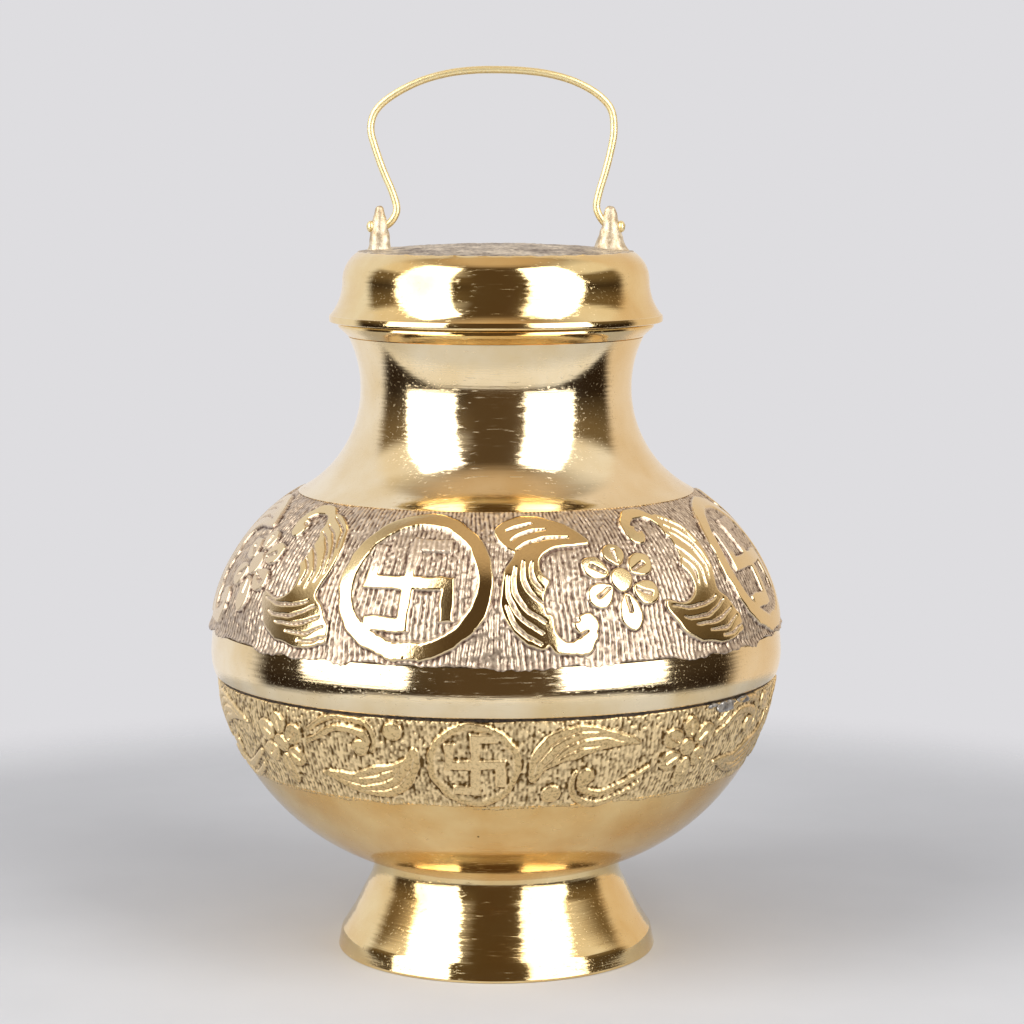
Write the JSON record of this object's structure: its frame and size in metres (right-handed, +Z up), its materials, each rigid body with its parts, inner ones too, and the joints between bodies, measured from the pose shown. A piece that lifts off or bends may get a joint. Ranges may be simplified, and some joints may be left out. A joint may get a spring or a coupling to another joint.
{
  "type": "gangajali pot",
  "caption": "Round-bellied brass water pot on a flared foot, with relief bands, a waisted neck, a screw lid and a swinging wire bail.",
  "frame": {"origin": "middle of the foot's ring on the surface that the pot stands on", "axes": "+Z up along the pot's axis; the bail swings about X and stands upright over the lid"},
  "size_m": [0.1246, 0.1246, 0.1922],
  "materials": {
    "turned_brass": "lathe-turned and buffed to a mirror",
    "body_brass": "buffed plain zones, browned hatched ground in the relief bands",
    "cast_brass": "rough as cast",
    "wire_brass": "drawn wire, satin",
    "solder": "dull grey soft solder",
    "seal_rubber": "matte"
  },
  "bodies": {
    "pot": {"foot": "turned_brass", "foot_solder": "solder", "bowl": "body_brass", "belly_solder": "solder", "upper_body": "body_brass", "neck_collar": "turned_brass"},
    "seal": {"seal_washer": "seal_rubber"},
    "lid": {"lid": "turned_brass", "ear_left": "cast_brass", "ear_right": "cast_brass"},
    "bail": {"bail": "wire_brass"}
  },
  "joints": [
    {"name": "lid_rise", "type": "slide", "parent": "pot", "child": "seal", "axis": [0, 0, 1], "range_m": [0, 0.0091]},
    {"name": "lid_turn", "type": "hinge", "parent": "seal", "child": "lid", "pos_m": [0, 0, 0.142], "axis": [0, 0, 1], "range_deg": [0, 1080]},
    {"name": "bail_swing", "type": "hinge", "parent": "lid", "child": "bail", "pos_m": [0, 0, 0.15795], "axis": [1, 0, 0], "range_deg": [-101, 101]}
  ],
  "couplings": [
    {"joint": "lid_rise", "follows": "lid_turn", "m_per_rad": 0.00047746}
  ]
}
